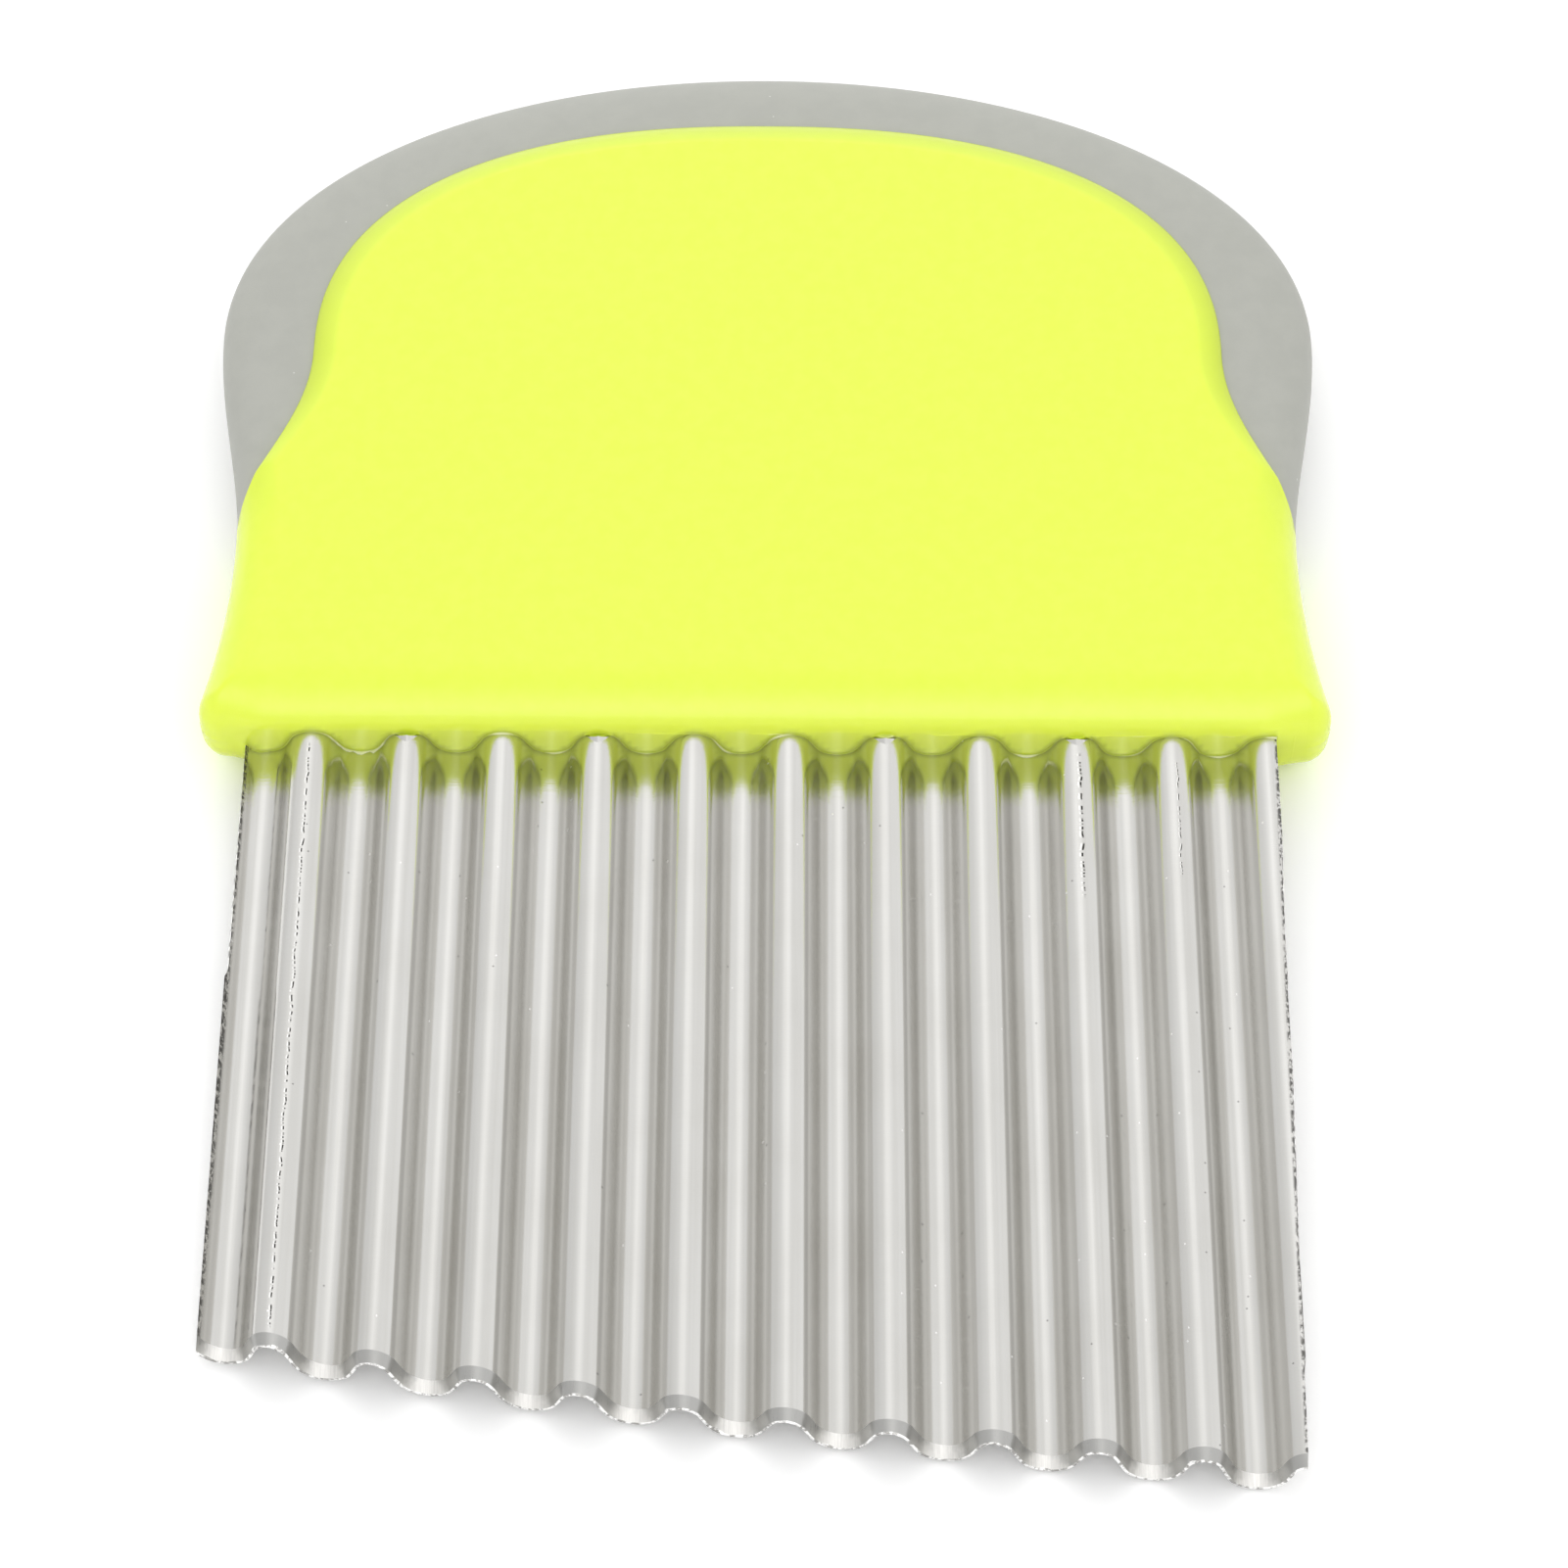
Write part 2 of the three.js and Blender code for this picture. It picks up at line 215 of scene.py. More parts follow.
def burr_width(x):
    """Width of the bright rolled rim along the cutting edge, with blobs here and there."""
    blob = wavering(x, burr_blob_spacing, 6.3)
    return (0.05 + 0.05 * crest_share(x) + 0.04 * blob + 0.3 * max(0.0, blob - 0.25)) * mm


class Wire:
    """One socket of a node tree. Sums on wires add Math nodes, and node() adds any other node."""

    def __init__(self, tree, socket=None):
        self.tree = tree
        self.socket = socket

    def node(self, kind, settings, sockets, output=0):
        made = self.tree.nodes.new(kind)
        for name, value in settings.items():
            setattr(made, name, value)
        for name, value in sockets.items():
            if isinstance(value, Wire):
                self.tree.links.new(value.socket, made.inputs[name])
            else:
                made.inputs[name].default_value = value
        return Wire(self.tree, made.outputs[output] if made.outputs else None)

    def output(self, name):
        return Wire(self.tree, self.socket.node.outputs[name])

    def math(self, operation, *terms):
        return self.node("ShaderNodeMath", {"operation": operation}, dict(enumerate(terms)))

    def __add__(self, other):
        return self.math("ADD", self, other)

    def __sub__(self, other):
        return self.math("SUBTRACT", self, other)

    def __rsub__(self, other):
        return self.math("SUBTRACT", other, self)

    def __mul__(self, other):
        return self.math("MULTIPLY", self, other)

    def __abs__(self):
        return self.math("ABSOLUTE", self)

    __radd__ = __add__
    __rmul__ = __mul__

    def capped(self):
        return self.math("MINIMUM", self, 1.0)

    def fade(self, start, end):
        """0 at start and before, 1 at end and after, smooth between."""
        return self.node("ShaderNodeMapRange", {"interpolation_type": "SMOOTHSTEP"},
                         {"Value": self, "From Min": start, "From Max": end})

    def tint(self, low, high):
        """Colour that goes from low, where this wire is 0, to high, where it is 1."""
        return self.node("ShaderNodeMix", {"data_type": "RGBA"}, {0: self, 6: low, 7: high}, 2)

    def scaled(self, x, y, z):
        return self.node("ShaderNodeVectorMath", {"operation": "MULTIPLY"}, {0: self, 1: (x, y, z)})

    def axis(self, name):
        return self.node("ShaderNodeSeparateXYZ", {}, {"Vector": self}, name)

    def cloud(self, scale, detail=3.0, rough=0.55):
        return self.node("ShaderNodeTexNoise", {}, {"Vector": self, "Scale": scale, "Detail": detail,
                                                    "Roughness": rough}, "Fac")

    def specks(self, spacing, radius, kept):
        """Dots scattered in plan, with one in each kept cell of about this spacing."""
        cells = self.node("ShaderNodeTexVoronoi", {"feature": "F1", "voronoi_dimensions": "2D"},
                          {"Vector": self, "Scale": 1 / spacing}, "Distance")
        chance = self.node("ShaderNodeSeparateColor", {}, {"Color": cells.output("Color")}, "Red")
        return cells.fade(radius / spacing, 0.4 * radius / spacing) * self.math("LESS_THAN", chance, kept)


def new_material(name):
    """An empty material, and its place on the piece in millimetres."""
    material = bpy.data.materials.new(name)
    material.use_nodes = True
    material.node_tree.nodes.clear()
    metres = Wire(material.node_tree).node("ShaderNodeTexCoord", {}, {}, "Object")
    return material, metres.scaled(1 / mm, 1 / mm, 1 / mm)


def finish_material(place, sockets):
    """Ends a material in one principled shader."""
    shader = place.node("ShaderNodeBsdfPrincipled", {}, sockets)
    place.node("ShaderNodeOutputMaterial", {}, {"Surface": shader})


def bump(height, distance):
    return height.node("ShaderNodeBump", {}, {"Height": height, "Distance": distance})


def gouge(place, number, aside, start, end, width):
    """A dashed scratch along a crest, between two distances below the lip: its dark line and bright rim."""
    wander = place.scaled(0, 0.55, 0).cloud(1.0, 2.0) - 0.5
    across = place.axis("X") - (crest_x(number) / mm + aside) - 0.5 * wander
    below_lip = lip_y / mm - place.axis("Y")
    stretch = below_lip.fade(start, start + 0.6) * below_lip.fade(end, end - 0.6)
    front = place.axis("Z").fade(mid_z / mm + 1.2, mid_z / mm + 1.4)
    dashes = place.scaled(0, 1.7, 0).cloud(1.0, 3.0, 0.6).fade(0.47, 0.53) * stretch * front
    spread = width * (0.3 + 1.5 * place.scaled(0, 0.9, 0).cloud(1.0, 3.0))
    line = abs(across).fade(spread, 0.4 * spread) * dashes
    rim = abs(across + 1.8 * width).fade(1.1 * width, 0.3 * width) * dashes
    return line, rim


def sheared(place, side_x, skew):
    """The dark, torn line along a side where the sheet was cut off."""
    inward = abs(place.axis("X") - (side_x - skew * lip_y) / mm - skew * place.axis("Y"))
    torn = place.scaled(1.5, 1, 1).cloud(2.2, 4.0, 0.65)
    return inward.fade(0.32, 0.1) * torn.fade(0.44, 0.54)


satin_steel, place = new_material("satin_steel")
grain = place.scaled(0.05, 14, 0.05).cloud(1.0, 2.0)
stains = place.scaled(1, 0.6, 1).cloud(0.2, 4.0)
pits = place.specks(3.0, 0.1, 0.14)
sparkles = place.scaled(1, 0.8, 1).specks(2.6, 0.085, 0.13)
long_line, long_rim = gouge(place, 1, -0.03, 1.2, 53.0, 0.07)
heavy_line, heavy_rim = gouge(place, 9, 0.2, 1.8, 15.5, 0.1)
short_line, short_rim = gouge(place, 10, 0.27, 2.4, 13.5, 0.05)
left_edge = sheared(place, blade_left_x, side_skew_left)
right_edge = sheared(place, blade_right_x, side_skew_right)
gouges = long_line + heavy_line + short_line + 0.85 * (left_edge + right_edge)
gouge_rims = long_rim + heavy_rim + short_rim
marks = gouges + gouge_rims + sparkles
streaks = place.scaled(2.4, 0.02, 0).cloud(1.0, 3.0, 0.6)
clean = (0.5 * stains.fade(0.35, 0.75) + 0.5 * streaks.fade(0.35, 0.65)).tint(
    (0.645, 0.639, 0.619, 1), (0.597, 0.588, 0.563, 1))
marked = (0.8 * gouge_rims + 0.9 * sparkles).capped().tint(clean, (0.97, 0.965, 0.95, 1))
finish_material(place, {
    "Base Color": (0.55 * pits + gouges).capped().tint(marked, (0.05, 0.048, 0.045, 1)),
    "Metallic": 1.0,
    "Roughness": 0.155 + 0.05 * (grain - 0.5) + 0.07 * (stains - 0.5) + 0.35 * marks,
    "Normal": bump(1.6 * grain + sparkles - pits - 2 * gouges, 0.004 * mm),
})

ground_steel, place = new_material("ground_steel")
lines = place.scaled(9, 0.5, 0.5).cloud(1.0, 4.0, 0.7)
blots = place.cloud(1.3, 3.0)
# Painted light: the bevel is lighter low in the troughs and darker up on the crests, for the light it catches
# there; the ground lines are the steel's own.
trough_painted_light = (place.axis("Z") + 0.8 * (blots - 0.5)).fade(4.5, 3.6)
finish_material(place, {
    "Base Color": (trough_painted_light * 0.85 + (lines - 0.5) * (0.15 + 0.9 * trough_painted_light)).tint(
        (0.43, 0.428, 0.415, 1), (0.86, 0.845, 0.815, 1)),
    "Metallic": 1.0,
    "Roughness": 0.2 + 0.2 * lines + 0.12 * trough_painted_light,
    "Normal": bump(lines * (0.3 + 0.7 * trough_painted_light), 0.01 * mm),
})

burred_steel, place = new_material("burred_steel")
rags = place.cloud(1.8, 3.0, 0.65)
finish_material(place, {
    "Base Color": rags.fade(0.4, 0.58).tint((0.36, 0.352, 0.336, 1), (0.98, 0.975, 0.96, 1)),
    "Metallic": 1.0,
    "Roughness": 0.35 + 0.2 * rags,
    "Normal": bump(rags, 0.02 * mm),
})

columns = wave_columns(blade_left_x - half_pitch, blade_right_x + half_pitch, bend_steps=12, flank_steps=3)
tang_rows = 4
face_rows = 58
ground_row = tang_rows + face_rows
burr_row = ground_row + 1
edge_row = ground_row + 2
burr_share = 0.42
blade = flat_grid("blade", len(columns) - 1, edge_row)
for material in (satin_steel, ground_steel, burred_steel):
    blade.data.materials.append(material)
for vertex in blade.data.vertices:
    row, column = divmod(vertex.index, len(columns))
    x = columns[column]
    edge_y = cutting_edge_y(x)
    if row < tang_rows:
        y = blade_high.y + (lip_y - blade_high.y) * row / tang_rows
    elif row <= ground_row:
        y = lip_y + (edge_y + bevel_width - lip_y) * (row - tang_rows) / (ground_row - tang_rows)
    elif row == burr_row:
        y = edge_y + burr(x) + burr_width(x)
    else:
        y = edge_y + burr(x)
    press = noise.noise(Vector((x / (9 * mm), y / (14 * mm), 2.0)))
    vertex.co = (x, y, mid_z + wave_z(x) + press_depth * press)

apply_modifier(blade, "SOLIDIFY", thickness=sheet_thickness, offset=0, use_even_offset=True)
mesh = blade.data
shell = len(columns) * (edge_row + 1)
front_first = 0 if mesh.vertices[0].co.z > mesh.vertices[shell].co.z else shell
back_first = shell - front_first


def front_row(index):
    """Row of a point on the sheet's front, or -1 for the back."""
    return (index - front_first) // len(columns) if 0 <= index - front_first < shell else -1


for row, share in ((burr_row, burr_share), (edge_row, edge_thickness / sheet_thickness)):
    for column in range(len(columns)):
        index = row * len(columns) + column
        back = mesh.vertices[back_first + index].co
        mesh.vertices[front_first + index].co = back.lerp(mesh.vertices[front_first + index].co, share)
for polygon in mesh.polygons:
    rows = [front_row(index) for index in polygon.vertices]
    polygon.material_index = max(0, max(rows) - ground_row)
for edge in mesh.edges:
    rows = [front_row(index) for index in edge.vertices]
    edge.use_edge_sharp = rows[0] == rows[1] and rows[0] >= ground_row

only(blade)
bpy.ops.object.mode_set(mode="EDIT")
blade_sides = ((blade_left_x, side_skew_left, -1), (blade_right_x, side_skew_right, 1))
for x, skew, side in blade_sides:
    bpy.ops.mesh.select_all(action="SELECT")
    bpy.ops.mesh.bisect(plane_co=(x, lip_y, 0), plane_no=(side, -side * skew, 0), use_fill=True,
                        clear_outer=True)
bpy.ops.mesh.select_all(action="SELECT")
bpy.ops.mesh.normals_make_consistent(inside=False)
bpy.ops.object.mode_set(mode="OBJECT")
for polygon in mesh.polygons:
    if abs(polygon.normal.x) > 0.98:
        polygon.material_index = 2
for vertex in mesh.vertices:
    for x, skew, side in blade_sides:
        if abs(vertex.co.x - x - skew * (vertex.co.y - lip_y)) < same_place:
            vertex.co.x -= side * side_rag_depth * (1 + wavering(vertex.co.y, side_rag_spacing, side))

for number in lock_hole_crests:
    hole_x = crest_x(number)
    hole_y = lip_y + lock_hole_depth
    steel_top = mid_z + (wave_height + sheet_thickness) / 2
    bpy.ops.object.select_all(action="DESELECT")
    bpy.ops.mesh.primitive_cylinder_add(vertices=48, radius=lock_hole_radius, depth=wave_height,
                                        location=(hole_x, hole_y, steel_top))
    cut(blade, bpy.context.object, "DIFFERENCE")


def loft(name, rings):
    """A closed solid through rings of as many points each, with both ends filled."""
    around = len(rings[0])
    solid = flat_grid(name, around, len(rings) - 1)
    for vertex in solid.data.vertices:
        ring, step = divmod(vertex.index, around + 1)
        vertex.co = rings[ring][step % around]
    only(solid)
    bpy.ops.object.mode_set(mode="EDIT")
    bpy.ops.mesh.select_all(action="SELECT")
    bpy.ops.mesh.remove_doubles(threshold=0.0005 * mm)
    bpy.ops.mesh.fill_holes(sides=0)
    bpy.ops.mesh.select_all(action="SELECT")
    bpy.ops.mesh.normals_make_consistent(inside=False)
    bpy.ops.object.mode_set(mode="OBJECT")
    return solid


def steel_face_z(x):
    """Height of the sheet's front face near the top of a crest."""
    return mid_z + wave_z(x) + sheet_thickness / 2 * math.hypot(1, wave_slope(x))


for number in lock_hole_crests:
    rim_rings = []
    for step in range(lock_rim_steps + 1):
        along = 2 * step / lock_rim_steps - 1
        turn = lock_rim_half_turn * along
        taper = max(1 - abs(along), 0.05)
        rise = lock_rim_rise * taper
        width = lock_rim_width * taper
        corners = ((0.0, -lock_rim_root), (0.0, rise), (0.05 * mm * taper, rise), (width, -0.02 * mm),
                   (width, -lock_rim_root))
        ring = []
        for out, height in corners:
            x = crest_x(number) + (lock_hole_radius + out) * math.sin(turn)
            y = lip_y + lock_hole_depth - (lock_hole_radius + out) * math.cos(turn)
            ring.append((x, y, steel_face_z(x) + height))
        rim_rings.append(ring)
    rim = loft("lock_rim", rim_rings)
    rim.data.materials.append(satin_steel)
    cut(blade, rim, "UNION")
clear_slivers(blade)
bpy.ops.object.shade_smooth_by_angle(angle=math.radians(15), keep_sharp_edges=True)
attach(blade, "root")
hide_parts("wavy_blade")

# Handle
# Lime plastic, moulded in one shot round the blade's tang, with a full round nose along the lip and
# a panel whose edge is rounded down to the band. The mould leaves thin flash along the steel.
# The lime's colour carries painted shade along the panel's border and in the joint with the steel, and a
# painted highlight on the flash.
trim = 0.12 * mm
base_half_width = handle_high.x - trim
waist_half_width = base_half_width - 1.9 * mm
arch_half_width = base_half_width + 0.55 * mm
handle_height = cad_high.y - trim - lip_y
waist_height = 18.1 * mm
arch_height = 39.6 * mm
arch_squareness = 2.04
corner_radius = 2.0 * mm
handle_thickness = handle_high.z - handle_low.z
nose_radius = 4.2 * mm
nose_flat = handle_thickness / 2 - nose_radius
panel_half_width = 37.7 * mm
panel_height = 60.6 * mm
panel_squareness = 2.35
shoulder_height = 36.0 * mm
shoulder_pull = 7.5 * mm
band_tip_height = 17.4 * mm
tip_overhang = 0.35 * mm
tip_lean = 0.5 * mm
tip_pull = 5.7 * mm
panel_round_width = 3.0 * mm
panel_round_drop = 0.75 * mm
flare_angle = math.atan(2 * (base_half_width - waist_half_width) / (waist_height - corner_radius))
parting_ridge = 0.03 * mm
parting_reach = 0.12 * mm
lip_bulge = 0.6 * mm
lip_wall = 0.28 * mm
lip_tuck = 0.45 * mm
lip_bulge_height = 3.0 * mm
lip_bulge_above = 2.1 * mm
lip_bulge_below = 2.6 * mm
lip_tuck_end = 3.5 * mm
lip_full_x = 40 * mm
lip_end_x = 43 * mm
under_bulge = 0.6 * mm
under_start = 0.5 * mm
under_full = 2.5 * mm
under_start_x = 39.5 * mm
under_full_x = 40.7 * mm
# Reach of the painted shade in the plastic next to the steel.
joint_shade_reach = 0.8 * mm
witness_ridge = 0.1 * mm
witness_spans = ((-11.3 * mm, -4.7 * mm), (-1.7 * mm, 2.4 * mm), (12.6 * mm, 18.8 * mm),
                 (23.7 * mm, 34.0 * mm), (36.0 * mm, 38.0 * mm))
flash_spacing = 2.2 * mm
flash_seed = 5.0
flash_root = 0.3 * mm
flash_bed = 0.06 * mm
crumb_spacing = 0.5 * mm
crumb_half_width = 3.4 * mm
hole_margin = 0.25 * mm
peg_clearance = 0.22 * mm
peg_high = 0.1 * mm
peg_low = 0.35 * mm
# How far above the band's tips the painted border shade fades in.
border_fade = 14 * mm
lip_steps = 90
corner_steps = 10
flare_steps = 14
side_steps = 16
arch_steps = 72
tip_steps = 28
nose_steps = 14
round_steps = 10


def bezier(controls, share):
    """A point along a Bezier curve of any degree."""
    points = [Vector(point) for point in controls]
    while len(points) > 1:
        points = [a.lerp(b, share) for a, b in zip(points, points[1:])]
    return points[0].to_tuple()


def superellipse(half_width, spring, rise, squareness, steps):
    """A quarter of an arch, from its spring at the side to its top."""
    power = 2 / squareness
    points = []
    for step in range(steps + 1):
        turn = math.pi / 2 * step / steps
        points.append((half_width * max(math.cos(turn), 0)**power, spring + rise * math.sin(turn)**power))
    return points


def mirrored(half):
    """A whole outline from its right half, which runs from bottom middle to top middle."""
    return half + [(-x, y) for x, y in half[-2:0:-1]]


def handle_outline(inset):
    """The handle's outline, this far in from its widest."""
    radius = max(corner_radius - inset, 0.3 * mm)
    corner_x = base_half_width - inset - radius
    corner_y = inset + radius
    half = [(corner_x * step / lip_steps, inset) for step in range(lip_steps)]
    for step in range(corner_steps + 1):
        turn = -math.pi / 2 + (math.pi / 2 + flare_angle) * step / corner_steps
        half.append((corner_x + radius * math.cos(turn), corner_y + radius * math.sin(turn)))
    flank_x, flank_y = half[-1]
    waist = waist_half_width - inset
    bend_y = flank_y + (flank_x - waist) / math.tan(flare_angle)
    flank = ((flank_x, flank_y), (waist, bend_y), (waist, waist_height))
    half += [bezier(flank, step / flare_steps) for step in range(1, flare_steps + 1)]
    arch = arch_half_width - inset
    pull = (arch_height - waist_height) / 3
    side = ((waist, waist_height), (waist, waist_height + pull), (arch, arch_height - pull),
            (arch, arch_height))
    half += [bezier(side, step / side_steps) for step in range(1, side_steps + 1)]
    rise = handle_height - inset - arch_height
    half += superellipse(arch, arch_height, rise, arch_squareness, arch_steps)[1:]
    return mirrored(half)


def panel_outline(growth):
    """The panel's outline over the arch. Below the band's tips it runs outside the handle."""
    outside = arch_half_width + 8 * mm + growth
    tip_y = band_tip_height - growth
    tip_x = waist_half_width + tip_overhang + growth
    side = panel_half_width + growth
    half = [(0.0, -10 * mm), (outside, -10 * mm), (outside, tip_y)]
    flank = ((tip_x, tip_y), (tip_x - tip_lean, tip_y + tip_pull), (side, shoulder_height - shoulder_pull),
             (side, shoulder_height))
    half += [bezier(flank, step / tip_steps) for step in range(tip_steps + 1)]
    rise = panel_height + growth - shoulder_height
    half += superellipse(side, shoulder_height, rise, panel_squareness, arch_steps)[1:]
    return mirrored(half)


def level_ring(rise, outline):
    """An outline over the lip, set level at this height from mid thickness."""
    return [(x, lip_y + y, mid_z + rise) for x, y in outline]


def both_faces(levels):
    """Levels of the upper half, from mid thickness up, with their mirror images below."""
    return [(-rise, inset) for rise, inset in reversed(levels)] + levels


def panel_block(name, top, drop, width):
    """A block with the panel's outline, its upper and lower edges rounded."""
    turns = [math.pi / 2 * step / round_steps for step in range(round_steps + 1)] if drop else [0.0]
    levels = [(top - drop + drop * math.sin(turn), width * (1 - math.cos(turn))) for turn in turns]
    return loft(name, [level_ring(rise, panel_outline(-inset)) for rise, inset in both_faces(levels)])


def witness(x):
    """Height of the fine line that the mould's blade slot leaves along stretches of the lip."""
    for start, end in witness_spans:
        if start < x < end:
            fade = min(1, (x - start) / mm, (end - x) / mm)
            return witness_ridge * fade * (0.7 + 0.5 * wavering(x, mm, 0.3))
    return 0.0


crest_top = (wave_height + sheet_thickness) / 2


def nose_recess(rise):
    """How far the round nose has turned back at this height from mid thickness."""
    turned = max(0.0, abs(rise) - nose_flat)
    return nose_radius - math.sqrt(max(nose_radius**2 - turned**2, 0.0))


def ramp(value, start, end):
    """0 at start and before, 1 at end and after, straight between."""
    return min(max((value - start) / (end - start), 0.0), 1.0)


def bulge(x, rise):
    """How far the lip swells out of its round: over the crests, tucked in down to the troughs, and out
    again under the lower corners."""
    if rise > crest_top:
        reach = lip_bulge_above if rise > lip_bulge_height else lip_bulge_below
        from_peak = (rise - lip_bulge_height) / reach
        swell = lip_bulge * max(0.0, 1 - from_peak**2)**2
    else:
        level = max(rise, -crest_top)
        swell = nose_recess(level) + lip_wall - lip_tuck * ramp(level, crest_top, -crest_top)**1.5
        swell *= ramp(rise, -lip_tuck_end, -crest_top)
    inside = ramp(abs(x), lip_end_x, lip_full_x)
    corner = ramp(abs(x), under_start_x, under_full_x) * inside
    return swell * inside + under_bulge * corner * ramp(rise, -under_start, -under_full)


def nose_y(x, rise):
    """Where the lip's front is at this height from mid thickness."""
    return lip_y + nose_recess(rise) - bulge(x, rise)


witness_turn = math.asin((crest_top - nose_flat) / nose_radius)
nose_turns = [math.pi / 2 * step / nose_steps for step in range(nose_steps + 1)]
nose_turns = sorted(nose_turns + [witness_turn - 0.02, witness_turn, witness_turn + 0.02])
nose_levels = [(parting_reach, 0.0)]
nose_levels += [(nose_flat + nose_radius * math.sin(turn), nose_radius * (1 - math.cos(turn)))
                for turn in nose_turns]
rings = []
for rise, inset in both_faces([(0.0, -parting_ridge)] + nose_levels):
    ridge = abs(rise - crest_top) < same_place
    outline = [(x, max(y, 0) - bulge(x, rise) - ridge * witness(x) if y < inset + same_place else y)
               for x, y in handle_outline(inset)]
    rings.append(level_ring(rise, outline))
handle = loft("handle", rings)


def crumb_share(x):
    """1 in the middle of the one trough where the flash has broken up into crumbs, 0 beyond its crests."""
    return ramp(abs(x - crest_x(1.5)), crumb_half_width, 0.0)


flash_rings = []
for x in columns:
    if not blade_left_x < x < blade_right_x:
        continue
    normal = Vector((-wave_slope(x), 0, 1)).normalized()
    steel_face = Vector((x, 0, mid_z + wave_z(x))) + normal * sheet_thickness / 2
    contact_y = nose_y(x, steel_face.z - mid_z)
    ragged = max(0, wavering(x, flash_spacing, flash_seed))
    crumbs = crumb_share(x) * abs(wavering(x, crumb_spacing, 8.0))
    reach = (0.08 + 0.22 * ragged + 0.6 * crumbs) * mm
    if any(abs(x - crest_x(number)) < lock_hole_radius + hole_margin for number in lock_hole_crests):
        reach = 0.03 * mm
    profile = ((flash_root, -flash_bed), (-reach, -flash_bed), (-reach, 0.03 * mm), (-0.5 * reach, 0.08 * mm),
               (flash_root, 0.2 * mm))
    contact = steel_face + Vector((0, contact_y, 0))
    flash_rings.append([contact + Vector((0, out, 0)) + normal * rise for out, rise in profile])
flash = loft("flash", flash_rings)
cut(handle, flash, "UNION")
for number in lock_hole_crests:
    bpy.ops.object.select_all(action="DESELECT")
    peg_top = crest_top - (peg_high if number > 5 else peg_low)
    bpy.ops.mesh.primitive_cylinder_add(
        vertices=40, radius=lock_hole_radius - peg_clearance, depth=peg_top,
        location=(crest_x(number), lip_y + lock_hole_depth, mid_z + peg_top / 2))
    cut(handle, bpy.context.object, "UNION")
panel = panel_block("panel_block", handle_thickness / 2 + 0.02 * mm, panel_round_drop, panel_round_width)
cut(handle, panel, "INTERSECT")
clear_slivers(handle)
bpy.ops.object.shade_smooth_by_angle(angle=math.radians(35))
apply_modifier(handle, "WEIGHTED_NORMAL", mode="FACE_AREA", keep_sharp=True)


def from_sheet(x, rise):
    """Distance from the middle of the steel sheet, true within the reach of the joint's shade."""
    asides = [joint_shade_reach / 12 * count for count in range(-12, 13)]
    return min(math.hypot(aside, rise - wave_z(x + aside)) for aside in asides)


def on_peg(x, y):
    """Whether a place in plan is inside one of the steel's lock holes."""
    hole_y = lip_y + lock_hole_depth
    return any(math.hypot(x - crest_x(number), y - hole_y) < lock_hole_radius for number in lock_hole_crests)


border_attribute = handle.data.attributes.new("from_border", "FLOAT", "POINT")
flash_and_highlight_attribute = handle.data.attributes.new("flash_pale_and_highlight", "FLOAT", "POINT")
joint_shade_attribute = handle.data.attributes.new("joint_painted_shade", "FLOAT", "POINT")
shares = zip(handle.data.vertices, border_attribute.data, flash_and_highlight_attribute.data, joint_shade_attribute.data)
for vertex, from_border, flash_pale_and_highlight, joint_painted_shade in shares:
    x, y, z = vertex.co
    rise = z - mid_z
    # Pale patches on the flash: partly the fins' own paleness, partly a painted highlight where their edge
    # catches light.
    patch = 2 * max(crumb_share(x), wavering(x, flash_spacing, flash_seed))
    flash_pale_and_highlight.value = ramp(nose_y(x, rise) - y, 0.0, 0.07 * mm) * min(patch, 1.0)
    # Painted shade: the lime is darkened close to the steel sheet, away from the pegs.
    if blade_left_x < x < blade_right_x and y < lip_y + mm and not on_peg(x, y):
        joint_painted_shade.value = ramp(from_sheet(x, rise), joint_shade_reach, sheet_thickness / 2)
    # Painted shade: the lime darkens towards its border with the band, fading in above the band's tips.
    drop = handle_thickness / 2 - abs(rise)
    height = ramp(drop, panel_round_drop, 0.0)
    border_shading = math.sqrt(1 - height**2) if drop > 0.03 * mm else 0.0
    from_border.value = 1 - border_shading * ramp(y - lip_y - band_tip_height, 0.0, border_fade)

lime_plastic, place = new_material("lime_plastic")
mottle = place.cloud(0.7, 4.0)
fine = place.cloud(9.0, 2.0)
dots = place.specks(4.2, 0.11, 0.15)
from_border = place.node("ShaderNodeAttribute", {"attribute_name": "from_border"}, {}, "Fac")
flash_pale_and_highlight = place.node("ShaderNodeAttribute", {"attribute_name": "flash_pale_and_highlight"}, {}, "Fac")
joint_painted_shade = place.node("ShaderNodeAttribute", {"attribute_name": "joint_painted_shade"}, {}, "Fac")
# Painted shade along the panel's border with the band, as a darker, greener lime.
border_shade = place.math("POWER", 1 - from_border, 1.2)
body_colour = mottle.fade(0.3, 0.7).tint((0.8, 0.96, 0.07, 1), (0.815, 0.97, 0.08, 1))
border_shaded_colour = border_shade.tint(body_colour, (0.58, 0.71, 0.055, 1))
# Painted shade in the joint with the steel, as a darker lime.
joint_shaded_colour = joint_painted_shade.tint(border_shaded_colour, (0.42, 0.5, 0.03, 1))
finish_material(place, {
    # The flash is painted pale: partly its own paleness, partly a painted highlight along its edge.
    "Base Color": (0.8 * flash_pale_and_highlight).tint(joint_shaded_colour, (0.95, 0.98, 0.55, 1)),
    "Roughness": 0.15 + 0.06 * (mottle - 0.5),
    "Subsurface Weight": 0.35,
    "Subsurface Radius": (1.0, 1.0, 0.3),
    "Subsurface Scale": 0.7 * mm,
    "Normal": bump(fine * 0.4 + dots, 0.006 * mm),
})
handle.data.materials.clear()
handle.data.materials.append(lime_plastic)
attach(handle, "root")
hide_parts("handle_body")

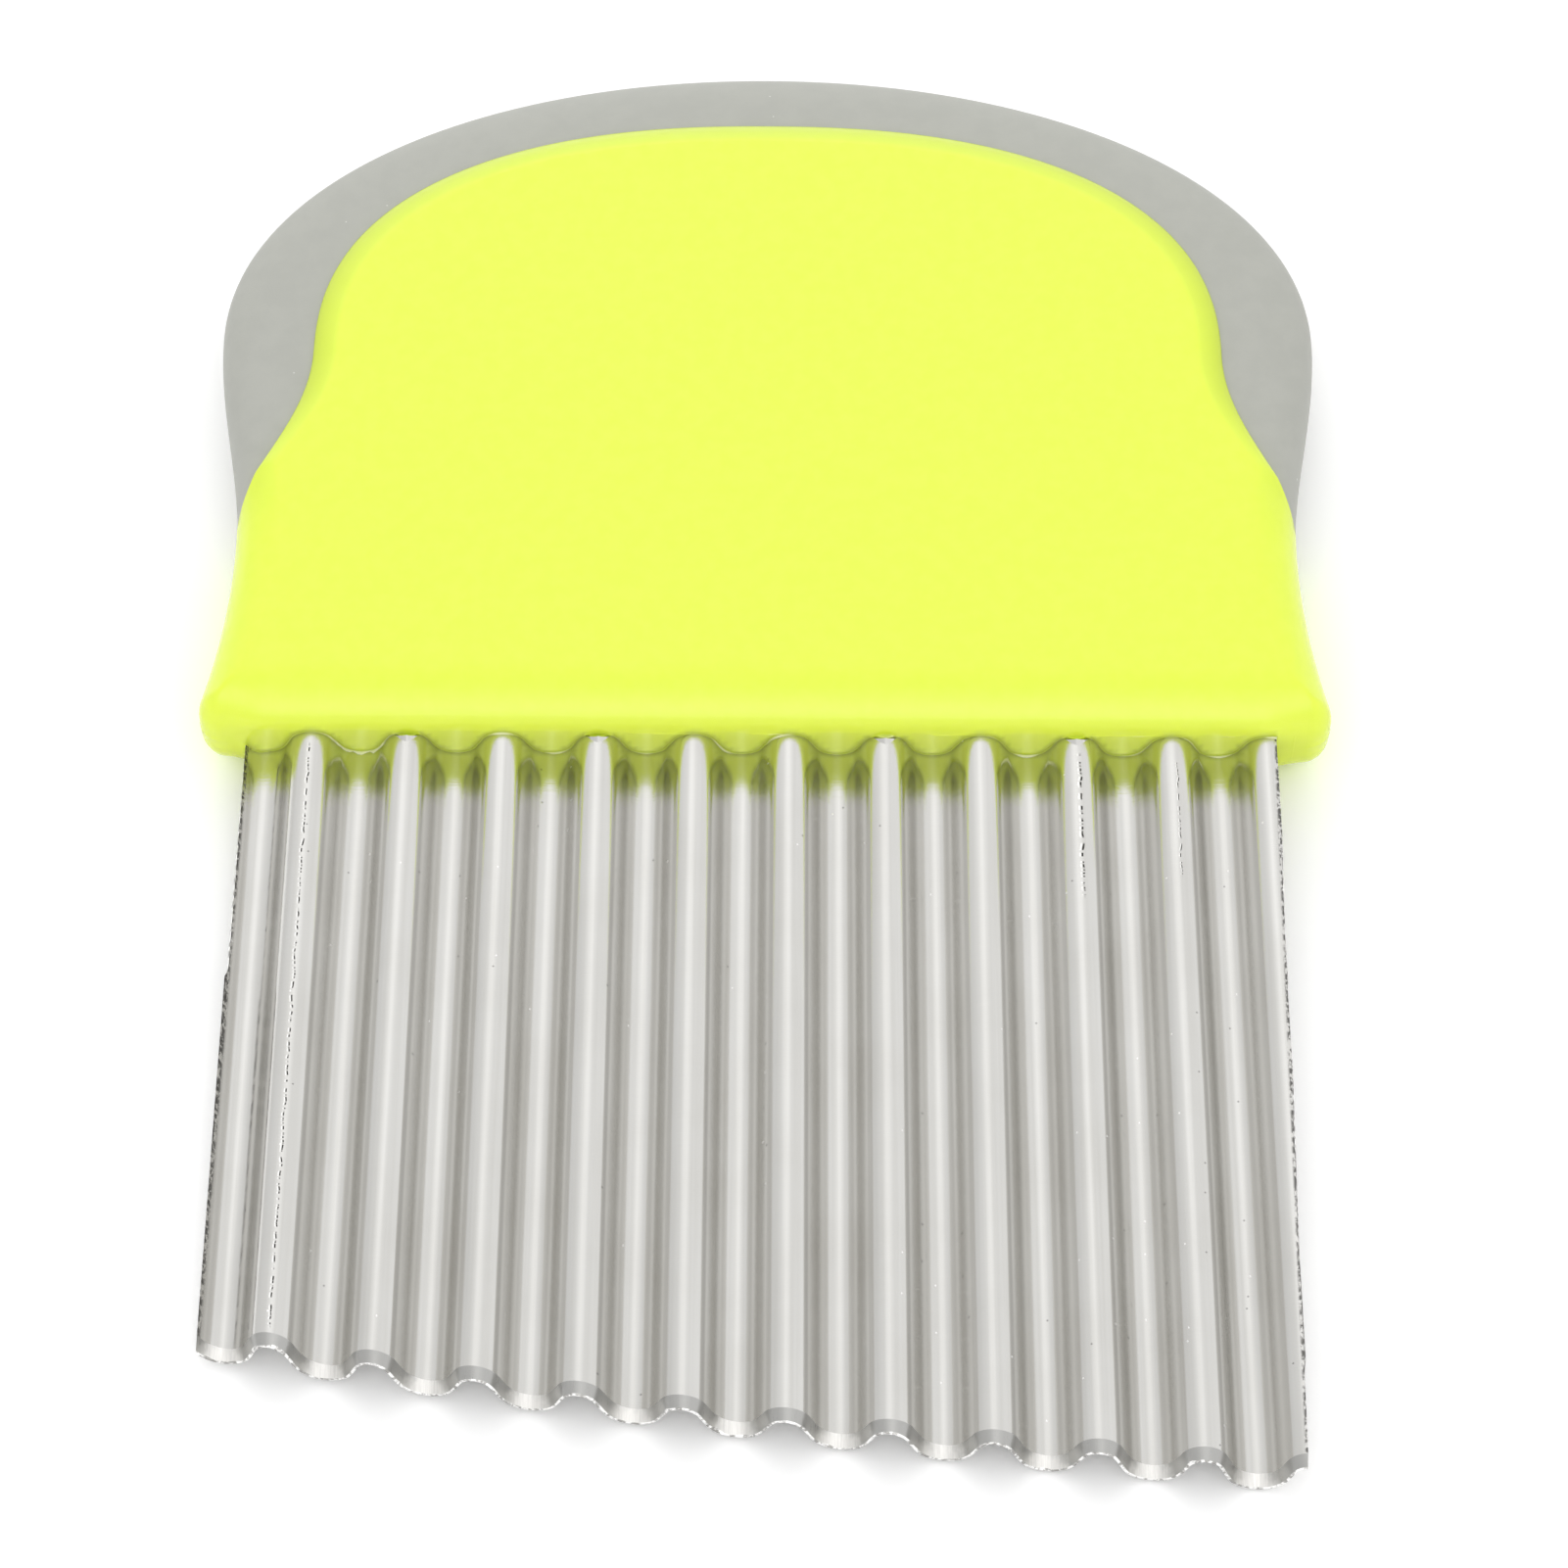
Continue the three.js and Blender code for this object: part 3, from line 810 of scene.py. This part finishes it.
# Soft band
# Grey rubber, moulded over the handle's arch as a second shot, round the edge and on both faces. It
# lies a little lower than the panel and falls away to a round outer edge.
band_profile = ((0.0, 0.0), (0.0, 3.9 * mm), (1.6 * mm, 4.1 * mm), (8.3 * mm, 4.3 * mm))
band_levels = [(rise, inset) for inset, rise in (bezier(band_profile, step / 20) for step in range(21))]
band_rings = [level_ring(rise, handle_outline(inset)) for rise, inset in both_faces(band_levels)]
band = loft("soft_band", band_rings)
cut(band, panel_block("panel_gap", handle_thickness, 0, 0), "DIFFERENCE")
clear_slivers(band)
bpy.ops.object.shade_smooth_by_angle(angle=math.radians(35))
apply_modifier(band, "WEIGHTED_NORMAL", mode="FACE_AREA", keep_sharp=True)

grey_rubber, place = new_material("grey_rubber")
mottle = place.cloud(0.5, 4.0)
fine = place.cloud(7.0, 3.0)
dust = place.specks(3.6, 0.09, 0.12)
shade = mottle.fade(0.3, 0.7).tint((0.412, 0.417, 0.378, 1), (0.432, 0.437, 0.396, 1))
finish_material(place, {
    "Base Color": dust.tint(shade, (0.66, 0.66, 0.63, 1)),
    "Roughness": 0.5 + 0.1 * (mottle - 0.5),
    "Normal": bump(fine, 0.012 * mm),
})
band.data.materials.clear()
band.data.materials.append(grey_rubber)
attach(band, "root")
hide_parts("soft_grip")

# Studio
# A white table under a white sky with three soft lights in it, a wide one low behind the tool, an upright
# strip behind and one in front, and the camera of the photograph. The tool leans a little, with its
# cutting edge near the table.
bpy.ops.object.select_all(action="DESELECT")
lean = math.radians(2.5)
bpy.ops.mesh.primitive_plane_add(size=6, location=(0, lip_y + nose_radius, 0), rotation=(-lean, 0, 0))
table = bpy.context.object
table.name = "table"
white_table, place = new_material("white_table")


def seen(wire):
    """1 for rays that show the surroundings: the camera's, mirrored and refracted ones."""
    path = wire.node("ShaderNodeLightPath", {}, {}, "Is Camera Ray")
    glossy = path.math("MAXIMUM", path, path.output("Is Glossy Ray"))
    return path.math("MAXIMUM", glossy, path.output("Is Transmission Ray"))


paint_colour = seen(place).tint((0.86, 0.86, 0.86, 1), (1.12, 1.12, 1.12, 1))
paint = place.node("ShaderNodeBsdfDiffuse", {}, {"Color": paint_colour})
place.node("ShaderNodeOutputMaterial", {}, {"Surface": paint})
table.data.materials.append(white_table)

world = bpy.data.worlds.new("white_sky")
world.use_nodes = True
world.node_tree.nodes.clear()
sky = Wire(world.node_tree).node("ShaderNodeTexCoord", {}, {}, "Generated")
light_level = 0.81


def soft_light(direction, strength, tightness):
    """A soft bright patch of the sky round a direction."""
    towards = Vector(direction).normalized().to_tuple()
    nearness = sky.node("ShaderNodeVectorMath", {"operation": "DOT_PRODUCT"}, {0: sky, 1: towards}, "Value")
    return strength * sky.math("POWER", sky.math("MAXIMUM", nearness, 0.0), tightness)


back_light = soft_light((-0.12, 0.94, 0.32), 1.0, 8.0)
across = abs(sky.axis("X") + 0.1)
strip_light = 0.24 * across.fade(0.45, 0.0) * sky.axis("Y").fade(0.0, 0.35)
front_light = soft_light((0, -0.64, 0.77), 1.9, 15.0)
level = light_level + (1 - light_level + 0.14 * sky.axis("X")) * seen(sky)
dome = sky.node("ShaderNodeBackground", {}, {
    "Color": (1, 1, 1, 1), "Strength": level + back_light + strip_light + front_light})
sky.node("ShaderNodeOutputWorld", {}, {"Surface": dome})
bpy.context.scene.world = world

camera_data = bpy.data.cameras.new("camera")
camera_data.lens = 111.643
camera_data.sensor_width = 36
camera_data.clip_start = 0.01
camera = bpy.data.objects.new("camera", camera_data)
camera.location = (0.81352 * mm, -215.548 * mm, 328.743 * mm)
camera.rotation_euler = [math.radians(angle) for angle in (32.9596, -0.2707, 0.2233)]
bpy.context.scene.collection.objects.link(camera)
bpy.context.scene.camera = camera
bpy.context.scene.view_settings.view_transform = "Standard"
